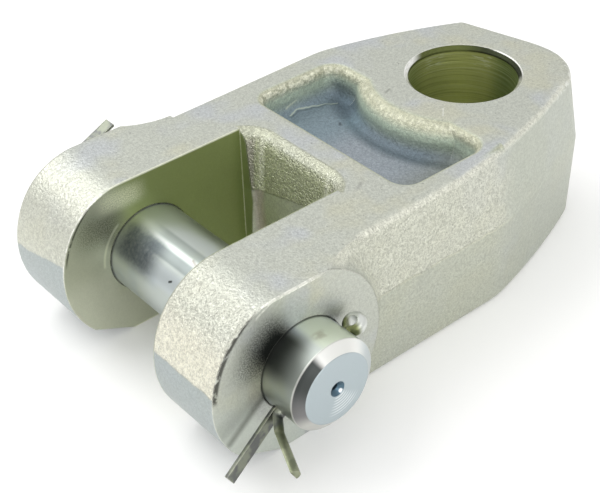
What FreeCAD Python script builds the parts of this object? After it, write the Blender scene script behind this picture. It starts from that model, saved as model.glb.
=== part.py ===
# Rod clevis: one forging with a fork at one end and an eye bore at the other, at right angles to the
# fork's pin, a plain clevis pin through the fork, and a split pin through each end of the clevis pin.
#
# Lengths are in millimetres. The model is drawn from the middle of the clevis pin: X runs from the
# fork to the eye, Y along the clevis pin, Z up along the eye bore. The finished solids are then moved
# so that the middle of the eye bore is the origin.
import FreeCAD, Part
import math
import os
from FreeCAD import Vector

# Main sizes
pin_diameter = 25.4
eye_bore_diameter = 31.8
pin_to_eye = 99.2
fork_gap = 40.3
boss_width = 87.4
body_width = 78.6
top_height = 23.65
base_depth = 24.15

# Running clearance of the clevis pin in its bores, on the radius
pin_clearance = 0.08
pin_bore_chamfer = 0.2
eye_bore_chamfer = 1.2

# Rounded nose of the fork, in the side view
nose_radius = 27.4
nose_shoulder_radius = 20.0
underside_flat_start_deg = 42.0
underside_flat_end = -8.0

# Round bosses on the fork's outer faces
boss_radius = 24.7
boss_cove_radius = 8.0

# Outline of the forging at its parting plane, seen from above: each side is straight, bends inward
# and runs on along a flank, a long arc, to the corner of the eye end
parting_height = 1.5
side_bend_start = 72.5
side_bend_radius = 30.0
side_bend_deg = 13.0
flank_radius = 250.0
end_reach = 129.5
end_corner_radius = 11.5

# Outline of the flat top, which the draft draws in, and which sits turned against the lower half
top_inset = 0.4
top_near_bend_start = 52.0
top_near_bend_deg = 3.0
top_near_flank_radius = 200.0
top_near_corner_radius = 18.0
top_far_bend_start = 75.0
top_far_bend_deg = 14.0
top_far_flank_radius = 165.0
top_far_corner_radius = 9.0
top_end_reach = 129.4
top_turn_deg = 1.0

# Outline of the flat underside, also drawn in by draft
base_inset = 0.4
base_end_inset = 1.6

# Rounded edges of the forging
top_edge_radius = 2.6
base_edge_radius = 1.6

# Flat ground on the eye end, set askew
ground_flat_reach = 126.85
ground_flat_skew_deg = 13.2

# Slot of the fork: milled cheeks, forged root
milled_cheek_end = 32.5
slot_root = 35.2
cheek_step = 0.3
slot_corner_radius = 7.5
slot_root_draft_deg = 4.0
slot_root_edge_radius = 4.5

# Recess between the fork and the eye, one in the top and one in the underside
recess_start = 46.4
recess_end = 76.0
recess_side_wall = 8.7
recess_depth = 9.6
recess_draft = 1.2
recess_corner_radius = 5.0
recess_floor_radius = 3.6
recess_edge_radius = 2.6

# Ring of full height round the eye bore, with a rounded shoulder that dips into the recess
eye_ring_radius = 25.6
eye_shoulder_radius = 5.6
eye_foot_radius = 3.4

# Clevis pin
pin_stick_out = 12.9
pin_end_chamfer_length = 2.15
pin_end_chamfer_depth = 2.95
centre_hole_radius = 2.1
centre_drill_radius = 0.9
centre_drill_depth = 4.2
centre_drill_point_deg = 118.0

# Split pins
split_pin_offset = 4.25
split_pin_diameter = 3.6
split_pin_slit = 0.2
split_pin_hole_clearance = 0.3
eye_loop_inner_radius = 1.4
eye_neck_radius = 2.0
eye_neck_depth = 0.2
near_split_pin_deg = 29.0
far_split_pin_deg = 115.0
leg_bend_stand_off = 0.5

# Legs of the near split pin: one runs nearly straight on, the other is curled away from it
straight_leg_bend_radius = 6.0
straight_leg_turn_deg = -8.0
straight_leg_length = 18.8
curled_leg_bend_radius = 2.2
curled_leg_turn_deg = 52.0
curled_leg_run = 3.6
curled_leg_second_radius = 3.0
curled_leg_second_turn_deg = 14.0
curled_leg_length = 11.6

# Legs of the far split pin: both are turned over and round the end of the clevis pin
turned_leg_bend_radius = 4.5
turned_leg_turn_deg = 90.0
turned_leg_length = 13.0
wrapped_leg_turn_deg = 130.0
wrapped_leg_length = 9.0

# Worked out from the sizes above
pin_radius = pin_diameter / 2
pin_bore_radius = pin_radius + pin_clearance
eye_bore_radius = eye_bore_diameter / 2
half_gap = fork_gap / 2
half_boss = boss_width / 2
half_body = body_width / 2
recess_half_width = half_body - recess_side_wall
half_height = (top_height + base_depth) / 2
middle_z = (top_height - base_depth) / 2
pin_half_length = half_boss + pin_stick_out
split_pin_y = half_boss + split_pin_offset

# Room by which cuts run past the metal, and within which an edge is looked for
past = 10.0
far_out = 400.0
spare = 1.0
close = 1e-3
far_ahead = nose_radius + past


def point(x, z):
    """A point of the side view, in the XZ plane."""
    return Vector(x, 0, z)


def arc(a, b, c):
    """The arc through three points."""
    return Part.Arc(a, b, c).toShape()


def line(a, b):
    return Part.LineSegment(a, b).toShape()


def prism(edges, direction):
    """A solid swept straight from a closed run of edges."""
    return Part.Face(Part.Wire(edges)).extrude(direction)


def arc_about(centre, radius, start_deg, end_deg, axis="z"):
    """An arc about a centre: in the XY plane for axis z, in the XZ plane for axis y."""
    ends = []
    for angle in (start_deg, (start_deg + end_deg) / 2, end_deg):
        c = radius * math.cos(math.radians(angle))
        s = radius * math.sin(math.radians(angle))
        ends.append(centre + (Vector(c, s, 0) if axis == "z" else Vector(c, 0, s)))
    return Part.Arc(*ends).toShape()


def outline_side(z, half_width, bend_start, bend_deg, flank, corner, reach):
    """The far side of an outline at one height, from the fork's end to the corner of the eye end."""
    bend = math.radians(bend_deg)
    bend_centre = Vector(bend_start, half_width - side_bend_radius, z)
    inward = flank - side_bend_radius
    flank_centre = bend_centre - Vector(math.sin(bend), math.cos(bend), 0) * inward
    corner_x = reach - corner
    run = corner_x - flank_centre.x
    corner_y = flank_centre.y + math.sqrt((flank - corner) ** 2 - run ** 2)
    lean_deg = math.degrees(math.asin(run / (flank - corner)))
    edges = [line(Vector(-far_ahead, half_width, z), Vector(bend_start, half_width, z))]
    edges.append(arc_about(bend_centre, side_bend_radius, 90, 90 - bend_deg))
    edges.append(arc_about(flank_centre, flank, 90 - bend_deg, 90 - lean_deg))
    edges.append(arc_about(Vector(corner_x, corner_y, z), corner, 90 - lean_deg, 0))
    return edges, corner_y


def outline(z, half_width, reach, near_shape, far_shape, turn_deg=0.0):
    """The outline from above at one height, each side's shape as its bend, flank and corner."""
    near, near_y = outline_side(z, half_width, *near_shape, reach)
    far, far_y = outline_side(z, half_width, *far_shape, reach)
    edges = [edge.mirror(Vector(0, 0, 0), Vector(0, 1, 0)) for edge in near]
    edges.append(line(Vector(reach, -near_y, z), Vector(reach, far_y, z)))
    edges.extend(reversed(far))
    edges.append(line(Vector(-far_ahead, half_width, z), Vector(-far_ahead, -half_width, z)))
    wire = Part.Wire(edges)
    wire.rotate(Vector(0, 0, 0), Vector(0, 0, 1), turn_deg)
    return wire


def long_edges_at(shape, z):
    """The edges that lie at one height, apart from the straight one across the fork's end."""
    found = []
    for edge in shape.Edges:
        box = edge.BoundBox
        level = abs(box.ZMin - z) < close and abs(box.ZMax - z) < close
        if level and box.XMax > 0:
            found.append(edge)
    return found


def forged_blank():
    """The forging in plan: drafted up and down from the parting plane, with rounded long edges."""
    side = (side_bend_start, side_bend_deg, flank_radius, end_corner_radius)
    top_near = (top_near_bend_start, top_near_bend_deg, top_near_flank_radius,
                top_near_corner_radius)
    top_far = (top_far_bend_start, top_far_bend_deg, top_far_flank_radius, top_far_corner_radius)
    base = outline(-base_depth, half_body - base_inset, end_reach - base_end_inset, side, side)
    parting = outline(parting_height, half_body, end_reach, side, side)
    top = outline(top_height, half_body - top_inset, top_end_reach, top_near, top_far,
                  top_turn_deg)
    lower = Part.makeLoft([base, parting], True, True)
    upper = Part.makeLoft([parting, top], True, True)
    lower = lower.makeFillet(base_edge_radius, long_edges_at(lower, -base_depth))
    upper = upper.makeFillet(top_edge_radius, long_edges_at(upper, top_height))
    return lower.fuse(upper)


def side_view_prism(half_width):
    """The side view, rounded at the nose, swept to both sides of the middle plane."""
    shoulder_z = top_height - nose_shoulder_radius
    shoulder_x = -math.sqrt((nose_radius - nose_shoulder_radius) ** 2 - shoulder_z ** 2)
    meet_deg = math.degrees(math.atan2(shoulder_z, shoulder_x))
    flat_deg = 180 + underside_flat_start_deg
    flat_from = point(nose_radius * math.cos(math.radians(flat_deg)),
                      nose_radius * math.sin(math.radians(flat_deg)))
    flat_to = point(underside_flat_end, -base_depth)
    right = end_reach + past
    edges = [line(point(right, top_height), point(shoulder_x, top_height))]
    edges.append(arc_about(point(shoulder_x, shoulder_z), nose_shoulder_radius, 90, meet_deg, "y"))
    edges.append(arc_about(point(0, 0), nose_radius, meet_deg, flat_deg, "y"))
    edges.append(line(flat_from, flat_to))
    edges.append(line(flat_to, point(right, -base_depth)))
    edges.append(line(point(right, -base_depth), point(right, top_height)))
    solid = prism(edges, Vector(0, 2 * half_width, 0))
    solid.translate(Vector(0, -half_width, 0))
    return solid


def slab(x_from, x_to, y_from, y_to, z_from, z_to):
    """A box between two corners."""
    corner = Vector(x_from, y_from, z_from)
    return Part.makeBox(x_to - x_from, y_to - y_from, z_to - z_from, corner)


def bosses():
    """The round bosses: flat faces on the clevis pin's axis, with a cove down to the body's sides."""
    body_y = half_body - top_inset
    cove_y = body_y + boss_cove_radius
    cove_r = boss_radius + boss_cove_radius
    meet_r = cove_r - math.sqrt(boss_cove_radius ** 2 - (cove_y - half_boss) ** 2)
    turn = math.atan2(half_boss - cove_y, meet_r - cove_r)
    middle = (turn % (2 * math.pi) + 1.5 * math.pi) / 2
    cove_middle = Vector(cove_r + boss_cove_radius * math.cos(middle),
                         cove_y + boss_cove_radius * math.sin(middle), 0)
    inner_y = (half_gap + half_body) / 2
    profile = [line(Vector(0, inner_y, 0), Vector(0, half_boss, 0))]
    profile.append(line(Vector(0, half_boss, 0), Vector(meet_r, half_boss, 0)))
    profile.append(arc(Vector(meet_r, half_boss, 0), cove_middle, Vector(cove_r, body_y, 0)))
    profile.append(line(Vector(cove_r, body_y, 0), Vector(cove_r, inner_y, 0)))
    profile.append(line(Vector(cove_r, inner_y, 0), Vector(0, inner_y, 0)))
    boss = Part.Face(Part.Wire(profile)).revolve(Vector(0, 0, 0), Vector(0, 1, 0), 360)
    far = boss.common(slab(0, far_out, 0, far_out, -base_depth, top_height))
    return far, far.mirror(Vector(0, 0, 0), Vector(0, 1, 0))


def fork_ends():
    """The ends of both arms, ahead of the clevis pin's axis, out to the bosses' faces."""
    full = side_view_prism(half_boss)
    inner_y = (half_gap + half_body) / 2
    far = full.common(slab(-far_ahead, 0, inner_y, half_boss, -base_depth, top_height))
    return far, far.mirror(Vector(0, 0, 0), Vector(0, 1, 0))


def recess_cutter():
    """The recess in the top: sloping walls, rounded corners and a rounded floor edge."""
    floor_z = top_height - recess_depth

    def ring(z, spread):
        start = recess_start - spread
        end = recess_end + spread
        half = recess_half_width + spread
        radius = recess_corner_radius + spread
        edges = [line(Vector(start + radius, -half, z), Vector(end - radius, -half, z))]
        edges.append(arc_about(Vector(end - radius, radius - half, z), radius, -90, 0))
        edges.append(line(Vector(end, radius - half, z), Vector(end, half - radius, z)))
        edges.append(arc_about(Vector(end - radius, half - radius, z), radius, 0, 90))
        edges.append(line(Vector(end - radius, half, z), Vector(start + radius, half, z)))
        edges.append(arc_about(Vector(start + radius, half - radius, z), radius, 90, 180))
        edges.append(line(Vector(start, half - radius, z), Vector(start, radius - half, z)))
        edges.append(arc_about(Vector(start + radius, radius - half, z), radius, 180, 270))
        return Part.Wire(edges)

    slope = recess_draft / recess_depth
    mouth = ring(top_height + past, slope * past)
    cutter = Part.makeLoft([ring(floor_z, -recess_draft), mouth], True, True)
    floor_edges = [e for e in cutter.Edges if e.BoundBox.ZMax < floor_z + close]
    return cutter.makeFillet(recess_floor_radius, floor_edges)


def eye_ring():
    """The metal round the eye, from floor to floor: a rounded shoulder above a hollow foot."""
    floor_z = top_height - recess_depth
    wall_r = eye_ring_radius + eye_shoulder_radius
    foot_r = wall_r + eye_foot_radius
    shoulder_z = top_height - eye_shoulder_radius
    foot_z = floor_z + eye_foot_radius
    diag = math.sqrt(0.5)
    profile = [line(Vector(0, 0, middle_z), Vector(foot_r, 0, middle_z))]
    profile.append(line(Vector(foot_r, 0, middle_z), Vector(foot_r, 0, floor_z)))
    profile.append(arc(Vector(foot_r, 0, floor_z),
                       Vector(foot_r - eye_foot_radius * diag, 0, foot_z - eye_foot_radius * diag),
                       Vector(wall_r, 0, foot_z)))
    profile.append(line(Vector(wall_r, 0, foot_z), Vector(wall_r, 0, shoulder_z)))
    profile.append(arc(Vector(wall_r, 0, shoulder_z),
                       Vector(eye_ring_radius + eye_shoulder_radius * diag, 0,
                              shoulder_z + eye_shoulder_radius * diag),
                       Vector(eye_ring_radius, 0, top_height)))
    profile.append(line(Vector(eye_ring_radius, 0, top_height), Vector(0, 0, top_height)))
    profile.append(line(Vector(0, 0, top_height), Vector(0, 0, middle_z)))
    ring = Part.Face(Part.Wire(profile)).revolve(Vector(0, 0, 0), Vector(0, 0, 1), 360)
    ring = ring.fuse(under_side(ring)).removeSplitter()
    ring.translate(Vector(pin_to_eye, 0, 0))
    return ring


def under_side(shape):
    """The mirror image of something at the top, at the underside."""
    return shape.mirror(Vector(0, 0, middle_z), Vector(0, 0, 1))


def slot_cutters():
    """The slot in the fork: the milled cheeks, then the forged root with its rounded rims."""
    milled = slab(-far_ahead, milled_cheek_end, -half_gap, half_gap, -far_out, far_out)
    half = half_gap - cheek_step
    tall = base_depth + past
    lean = math.tan(math.radians(slot_root_draft_deg))
    at_parting = slot_root - top_height * lean

    def ring(z):
        reach = at_parting + abs(z - parting_height) * lean
        back = milled_cheek_end - slot_corner_radius
        corner_x = reach - slot_corner_radius
        corner_y = half - slot_corner_radius
        edges = [line(Vector(back, -half, z), Vector(corner_x, -half, z))]
        edges.append(arc_about(Vector(corner_x, -corner_y, z), slot_corner_radius, -90, 0))
        edges.append(line(Vector(reach, -corner_y, z), Vector(reach, corner_y, z)))
        edges.append(arc_about(Vector(corner_x, corner_y, z), slot_corner_radius, 0, 90))
        edges.append(line(Vector(corner_x, half, z), Vector(back, half, z)))
        edges.append(line(Vector(back, half, z), Vector(back, -half, z)))
        return Part.Wire(edges)

    upper = Part.makeLoft([ring(parting_height), ring(tall)], True, True)
    lower = Part.makeLoft([ring(-tall), ring(parting_height)], True, True)
    block_x = slot_root + slot_root_edge_radius + spare
    block_y = half_gap + slot_root_edge_radius
    block = slab(milled_cheek_end, block_x, -block_y, block_y, -base_depth, top_height)
    root = block.cut(upper.fuse(lower))
    rims = [e for e in root.Edges if is_root_rim(e)]
    return milled, block.cut(root.makeFillet(slot_root_edge_radius, rims))


def is_level_rim(box):
    """Whether an edge with this box lies in the top or in the underside."""
    return box.ZLength < close and abs(abs(box.ZMax - middle_z) - half_height) < close


def is_root_rim(edge):
    """Whether an edge is where the slot's forged root meets the top or the underside."""
    box = edge.BoundBox
    inside = box.XMin > milled_cheek_end - close and box.XMax < slot_root + spare
    behind = box.XMax > milled_cheek_end + close
    return is_level_rim(box) and inside and behind and box.YMax < half_gap \
        and box.YMin > -half_gap


def bore(axis_point, axis, radius, half_length, chamfer):
    """A cutter for a through bore with a chamfer at both mouths."""
    profile = [Vector(0, 0, 0), Vector(radius, 0, 0), Vector(radius, 0, half_length - chamfer),
               Vector(radius + chamfer + spare, 0, half_length + spare),
               Vector(0, 0, half_length + spare)]
    face = Part.Face(Part.makePolygon(profile + [profile[0]]))
    upper = face.revolve(Vector(0, 0, 0), Vector(0, 0, 1), 360)
    cutter = upper.fuse(upper.mirror(Vector(0, 0, 0), Vector(0, 0, 1))).removeSplitter()
    cutter.Placement = FreeCAD.Placement(axis_point, FreeCAD.Rotation(Vector(0, 0, 1), axis))
    return cutter


def recess_edges(shape):
    """The edges where the recesses break out through the top and the underside."""
    found = []
    for edge in shape.Edges:
        box = edge.BoundBox
        inside = box.XMin > recess_start - spare and box.XMax < recess_end + spare
        reach = max(abs(box.YMin), abs(box.YMax))
        if is_level_rim(box) and inside and reach < recess_half_width + spare:
            found.append(edge)
    return found


def ground_flat():
    """The cutter for the flat that was ground on the eye end, a little askew."""
    cutter = slab(0, far_out, -far_out, far_out, -far_out, far_out)
    cutter.rotate(Vector(0, 0, 0), Vector(0, 0, 1), ground_flat_skew_deg)
    cutter.translate(Vector(ground_flat_reach, 0, 0))
    return cutter


def make_clevis_body():
    """The forging, one piece."""
    body = forged_blank().common(side_view_prism(half_boss)).removeSplitter()
    for piece in bosses() + fork_ends():
        body = body.fuse(piece)
    body = body.cut(ground_flat()).removeSplitter()
    for cutter in slot_cutters():
        body = body.cut(cutter)
    ring = eye_ring().common(body)
    cutter = recess_cutter()
    for recess in (cutter, under_side(cutter)):
        body = body.cut(recess)
    body = body.makeFillet(recess_edge_radius, recess_edges(body))
    body = body.fuse(ring).removeSplitter()
    eye_cutter = bore(Vector(pin_to_eye, 0, middle_z), Vector(0, 0, 1), eye_bore_radius, half_height,
                      eye_bore_chamfer)
    pin_cutter = bore(Vector(0, 0, 0), Vector(0, 1, 0), pin_bore_radius, half_boss,
                      pin_bore_chamfer)
    return body.cut(eye_cutter).cut(pin_cutter)


def make_clevis_pin():
    """The plain pin: chamfered ends, a centre hole in each, and a cross hole for each split pin."""
    inner = pin_half_length - pin_end_chamfer_length
    hole_rim = pin_half_length - centre_hole_radius
    drill_end = pin_half_length - centre_drill_depth
    drill_tip = drill_end - centre_drill_radius / math.tan(math.radians(centre_drill_point_deg / 2))
    drill_start = hole_rim + centre_drill_radius
    profile = [Vector(0, 0, 0), Vector(pin_radius, 0, 0), Vector(pin_radius, inner, 0),
               Vector(pin_radius - pin_end_chamfer_depth, pin_half_length, 0),
               Vector(centre_hole_radius, pin_half_length, 0),
               Vector(centre_drill_radius, drill_start, 0),
               Vector(centre_drill_radius, drill_end, 0), Vector(0, drill_tip, 0)]
    face = Part.Face(Part.makePolygon(profile + [profile[0]]))
    half = face.revolve(Vector(0, 0, 0), Vector(0, 1, 0), 360)
    pin = half.fuse(half.mirror(Vector(0, 0, 0), Vector(0, 1, 0))).removeSplitter()
    hole_radius = split_pin_diameter / 2 + split_pin_slit / 2 + split_pin_hole_clearance
    for y, angle in ((-split_pin_y, near_split_pin_deg), (split_pin_y, far_split_pin_deg)):
        direction = Vector(math.cos(math.radians(angle)), 0, math.sin(math.radians(angle)))
        start = Vector(0, y, 0) - direction * 2 * pin_radius
        pin = pin.cut(Part.makeCylinder(hole_radius, 4 * pin_radius, start, direction))
    return pin


class Route:
    """A flat path that starts at a point in a direction and grows by straight runs and bends."""

    def __init__(self, position, heading_deg):
        self.position = position
        self.heading = heading_deg
        self.edges = []

    def unit(self, angle_deg):
        return Vector(math.cos(math.radians(angle_deg)), math.sin(math.radians(angle_deg)), 0)

    def run(self, length):
        end = self.position + self.unit(self.heading) * length
        self.edges.append(line(self.position, end))
        self.position = end

    def bend(self, radius, turn_deg):
        """Turn left for a positive angle and right for a negative one."""
        side = 1 if turn_deg > 0 else -1
        centre = self.position + self.unit(self.heading + 90 * side) * radius
        points = [self.position]
        for share in (0.5, 1.0):
            points.append(centre + self.unit(self.heading - 90 * side + turn_deg * share) * radius)
        self.edges.append(Part.Arc(*points).toShape())
        self.position = points[-1]
        self.heading = self.heading + turn_deg


def half_round_sweep(route_edges, start, side):
    """Half-round wire along a path, its flat on the path and its round back to one side."""
    half = split_pin_diameter / 2
    across = Vector(0, 0, half)
    back = start + Vector(0, side * half, 0)
    section = Part.Wire([line(start - across, start + across),
                         arc(start + across, back, start - across)])
    return Part.Wire(route_edges).makePipeShell([section], True, False)


def split_pin(left_leg, right_leg):
    """A split pin of half-round wire in its own plane: the head towards +X, the legs towards -X.

    Each leg is a list of steps beyond the clevis pin's surface, a bend (radius, turn) or a run
    (length,), where a positive turn is away from the other leg.
    """
    legs_from = -(pin_radius + leg_bend_stand_off)
    neck_from = pin_radius - eye_neck_depth
    flat = split_pin_slit / 2
    neck_turn = math.degrees(math.acos((eye_neck_radius + flat)
                                       / (eye_neck_radius + eye_loop_inner_radius)))
    head = Route(Vector(legs_from, flat, 0), 0)
    head.run(neck_from - legs_from)
    head.bend(eye_neck_radius, neck_turn)
    head.bend(eye_loop_inner_radius, -(180 + 2 * neck_turn))
    head.bend(eye_neck_radius, neck_turn)
    head.run(neck_from - legs_from)
    pin = half_round_sweep(head.edges, Vector(legs_from, flat, 0), 1)
    for steps, side in ((left_leg, 1), (right_leg, -1)):
        start = Vector(legs_from, side * flat, 0)
        leg = Route(start, 180)
        for step in steps:
            if len(step) == 1:
                leg.run(step[0])
            else:
                leg.bend(step[0], -side * step[1])
        pin = pin.fuse(half_round_sweep(leg.edges, start, side))
    return pin.removeSplitter()


def place_split_pin(shape, y, angle_deg, roll_deg):
    """Stand a split pin in its cross hole, its head at an angle above +X, turned about its shank."""
    roll = FreeCAD.Rotation(Vector(1, 0, 0), roll_deg)
    lift = FreeCAD.Rotation(Vector(0, 1, 0), -angle_deg)
    shape.Placement = FreeCAD.Placement(Vector(0, y, 0), lift.multiply(roll))
    return shape


def make_near_split_pin():
    """The split pin at the fork's near side: legs opened in the plane of the clevis pin's axis."""
    straight = [(straight_leg_bend_radius, straight_leg_turn_deg), (straight_leg_length,)]
    curled = [(curled_leg_bend_radius, curled_leg_turn_deg), (curled_leg_run,),
              (curled_leg_second_radius, curled_leg_second_turn_deg), (curled_leg_length,)]
    return place_split_pin(split_pin(straight, curled), -split_pin_y, near_split_pin_deg, 0)


def make_far_split_pin():
    """The split pin at the far side: its legs are opened across the end of the clevis pin."""
    over = [(turned_leg_bend_radius, turned_leg_turn_deg), (turned_leg_length,)]
    wrapped = [(turned_leg_bend_radius, wrapped_leg_turn_deg), (wrapped_leg_length,)]
    return place_split_pin(split_pin(over, wrapped), split_pin_y, far_split_pin_deg + 180, 90)


def export(name, shape):
    """Move a finished piece so that the eye bore's middle is the origin, and write its file."""
    shape.translate(Vector(-pin_to_eye, 0, 0))
    shape.exportStep(f"parts/{name}.step")


def main():
    os.makedirs("parts", exist_ok=True)
    export("clevis_body", make_clevis_body())
    export("clevis_pin", make_clevis_pin())
    export("near_split_pin", make_near_split_pin())
    export("far_split_pin", make_far_split_pin())


main()
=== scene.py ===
import math

import bpy
from mathutils import Matrix, Vector


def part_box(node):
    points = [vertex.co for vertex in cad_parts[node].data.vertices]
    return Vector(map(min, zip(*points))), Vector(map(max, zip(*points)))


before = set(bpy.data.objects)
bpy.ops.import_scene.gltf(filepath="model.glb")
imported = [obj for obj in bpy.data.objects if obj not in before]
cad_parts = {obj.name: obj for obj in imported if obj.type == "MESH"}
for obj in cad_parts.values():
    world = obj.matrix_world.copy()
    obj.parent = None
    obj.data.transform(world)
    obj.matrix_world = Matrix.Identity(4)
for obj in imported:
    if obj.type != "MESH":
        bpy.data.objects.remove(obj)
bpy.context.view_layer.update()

# The view that the photograph was taken from, in degrees and metres of the row frame
CAMERA_AZIMUTH = -39.163
CAMERA_ELEVATION = 36.697
CAMERA_ROLL = -1.961
CAMERA_TARGET = Vector((-0.06418, -0.00194, -0.00526))
CAMERA_DISTANCE = 0.37429
CAMERA_CLIP_START = 0.01
FRAME_WIDTH = 600
FRAME_HEIGHT = 493
FOCAL_PIXELS = 1348.94
CENTRE_PIXEL = (301.60, 245.32)
SENSOR_MM = 36.0

MM_PER_METRE = 1000.0

# Places on the forging, in millimetres from the middle of the eye bore
PIN_X = -99.2
FORK_HALF_GAP = 20.15
FORK_END_RADIUS = 27.4
CHEEK_END = PIN_X + 32.5
ROOT_END = PIN_X + 40.5
RECESS_START = PIN_X + 43.0
RECESS_END = PIN_X + 79.5
RECESS_HALF_WIDTH = 33.6
GROUND_FROM = PIN_X + 84.0
PARTING_Z = 1.5
MIDDLE_Z = -0.25
HALF_HEIGHT = 23.9
EYE_RADIUS = 15.9
BOSS_Y = 43.7

# Places on the clevis pin, in millimetres
CHAMFER_START = 54.5
END_FACE = 56.5
CENTRE_HOLE_RADIUS = 2.15

# Directions in the eye's plane: across and along the photograph's line of sight
ACROSS = (0.775, -0.632)
ALONG = (0.632, 0.775)

# How strongly the forged skin's grain shows in its colour and in its relief in millimetres
FLECK_DEPTH = 0.17
SKIN_DEPTH = 0.34

# Metal shares of the plated steel and the wire, and the wire's roughness
ZINC_METALLIC = 0.8
WIRE_METALLIC = 0.9
WIRE_ROUGHNESS = 0.32

# Rounded edges: rays for each, and the cosine of the surface's turn where the edge marks start and
# are full: edge wear with painted highlight on the forging, painted highlight on the wire
BEVEL_SAMPLES = 3
EDGE_MARK_START = 0.995
EDGE_MARK_FULL = 0.85

# Floor and world: sizes in metres, strengths where 1 is white, and the heights of the looking
# direction between which the world turns brighter
FLOOR_SIZE = 6
FLOOR_GAP = 0.0001
FLOOR_ROUGHNESS = 0.9
FLOOR_GLOW = 0.08
HORIZON_STRENGTH = 0.72
OVERHEAD_STRENGTH = 0.98
RISE_START = -0.05
RISE_END = 0.8

# Lamps: name, direction from the part, distance and size in metres, power in watts
LAMPS = (
    ("key_light", (-0.35, 0.6, 0.9), 0.7, 0.5, 2.0),
    ("front_light", (-0.45, -1.0, 0.6), 0.9, 0.6, 2.0),
)

# Tones on the 0 to 255 scale
TONES = {
    # the forging's skin
    "top": (190, 193, 183),
    "lilac cloud": (188, 192, 195),
    "straw cloud": (196, 196, 176),
    "side": (208, 209, 194),
    "low side": (188, 191, 176),
    "nose": (199, 200, 187),
    # painted light on the near nose's middle
    "lit near nose": (228, 225, 208),
    "low nose": (164, 172, 172),
    "ground end": (182, 186, 174),
    # painted highlight along the parting line
    "seam_highlight": (222, 222, 200),
    # painted highlight on the body's rounded edges
    "crest_highlight": (238, 238, 224),
    "glint": (248, 248, 238),
    # edge wear with painted highlight
    "worn edge highlight": (246, 246, 234),
    "speck": (120, 122, 118),
    "chip": (232, 234, 226),
    # the recess
    "recess wall": (192, 204, 188),
    "recess rim": (186, 187, 166),
    # painted highlight on the recess rim
    "rim highlight": (244, 244, 226),
    "recess floor": (153, 160, 167),
    # blue tint at the foot, darkened by painted shade
    "blue shaded foot": (108, 120, 128),
    "far floor": (116, 138, 148),
    "near floor": (134, 136, 122),
    # painted shade in the far corner
    "far corner shade": (86, 98, 108),
    # painted highlight and painted shade that draw the ridges
    "ridge": (198, 208, 192),
    "ridge shade": (78, 92, 94),
    "upper ridge highlight": (206, 213, 198),
    "pit": (60, 66, 74),
    # the fork's slot
    "cheek": (162, 174, 118),
    "dull cheek": (184, 188, 166),
    "low cheek": (200, 203, 184),
    "dark patch": (70, 76, 44),
    "light patch": (238, 240, 210),
    # painted highlight on the step at the cheek's end
    "ledge_highlight": (214, 218, 178),
    # painted highlight on the slot's lip
    "slot lip highlight": (244, 246, 222),
    "root": (203, 206, 178),
    "low root": (226, 229, 212),
    "root rim": (170, 172, 152),
    # painted highlight on the root's corners
    "root corner highlight": (250, 250, 232),
    "root purple": (168, 158, 160),
    "low purple": (232, 216, 214),
    # painted shade where the root turns upward
    "root turn shade": (146, 150, 128),
    # the bosses and the fork's ends
    "pale face": (214, 221, 213),
    # painted shade and reflection beside the near boss's pin
    "shade_veil": (96, 100, 92),
    "shade_smudge": (28, 32, 30),
    # painted shade in the crease round the boss
    "boss crease shade": (116, 118, 108),
    # painted shadow and reflection of the split pin's leg
    "streak": (92, 96, 84),
    # painted shade in the gap round the pin
    "pin gap shade": (24, 28, 24),
    "scored rim": (52, 50, 44),
    # painted highlight on the boss lip
    "boss lip highlight": (250, 250, 240),
    "burr": (96, 90, 78),
    # painted highlight on the far lip
    "far lip highlight": (250, 250, 242),
    "far crack": (44, 46, 34),
    "tool arc": (224, 227, 200),
    # the eye
    "bore": (203, 208, 138),
    # painted shade at the bore's ends
    "shaded bore end": (112, 132, 86),
    "light ring": (232, 236, 200),
    "dark ring": (120, 126, 74),
    "bore streak": (236, 240, 208),
    # painted shade in the eye's mouth
    "mouth_shade": (90, 97, 52),
    "right mouth shade": (44, 49, 30),
    # painted highlights on the crescent and the eye's lip
    "crescent_highlight": (255, 255, 252),
    "eye lip highlight": (244, 244, 238),
    # the clevis pin
    "pin": (178, 185, 180),
    "pin lilac": (166, 176, 186),
    "pin straw": (182, 188, 166),
    # painted reflection: a dark patch on the pin
    "pin dark reflection": (76, 83, 88),
    # painted highlight on the pin's near end
    "pin crown highlight": (226, 236, 216),
    # painted shade and reflection on the stub
    "pin reflected shade": (28, 32, 32),
    "low reflected shade": (88, 92, 86),
    "stain": (132, 116, 94),
    # painted light and shade round the chamfer and on the faced end
    "shaded chamfer": (32, 35, 35),
    "lit chamfer": (246, 246, 242),
    "right chamfer light": (196, 204, 206),
    "left chamfer shade": (118, 116, 118),
    "low chamfer light": (206, 205, 200),
    "end face": (178, 189, 193),
    "lit end face": (222, 228, 230),
    # painted shade in the centre hole
    "shaded centre hole": (84, 108, 122),
    "hole glint": (244, 248, 248),
    "dent": (48, 50, 50),
    "scuff": (120, 108, 98),
    # painted highlight on the pin's rim
    "pin rim highlight": (222, 222, 216),
    # the split pins
    "wire": (104, 106, 104),
    "light wire": (134, 138, 124),
    "curled wire": (116, 121, 98),
    "light curled wire": (142, 147, 122),
    "green head": (118, 124, 84),
    "silver head": (214, 217, 212),
    # painted highlight along the wire's edges
    "wire edge highlight": (196, 198, 176),
    # the floor
    "floor paper": (244, 244, 243),
}

# The lower ridge in the recess, as x and y in millimetres
RIDGE_PATH = ((-42.6, 27.8), (-39.4, 28.5), (-35.4, 28.0), (-30.4, 26.4), (-27.4, 24.2))
RIDGE_SHADE_OFFSET = 0.6

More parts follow.
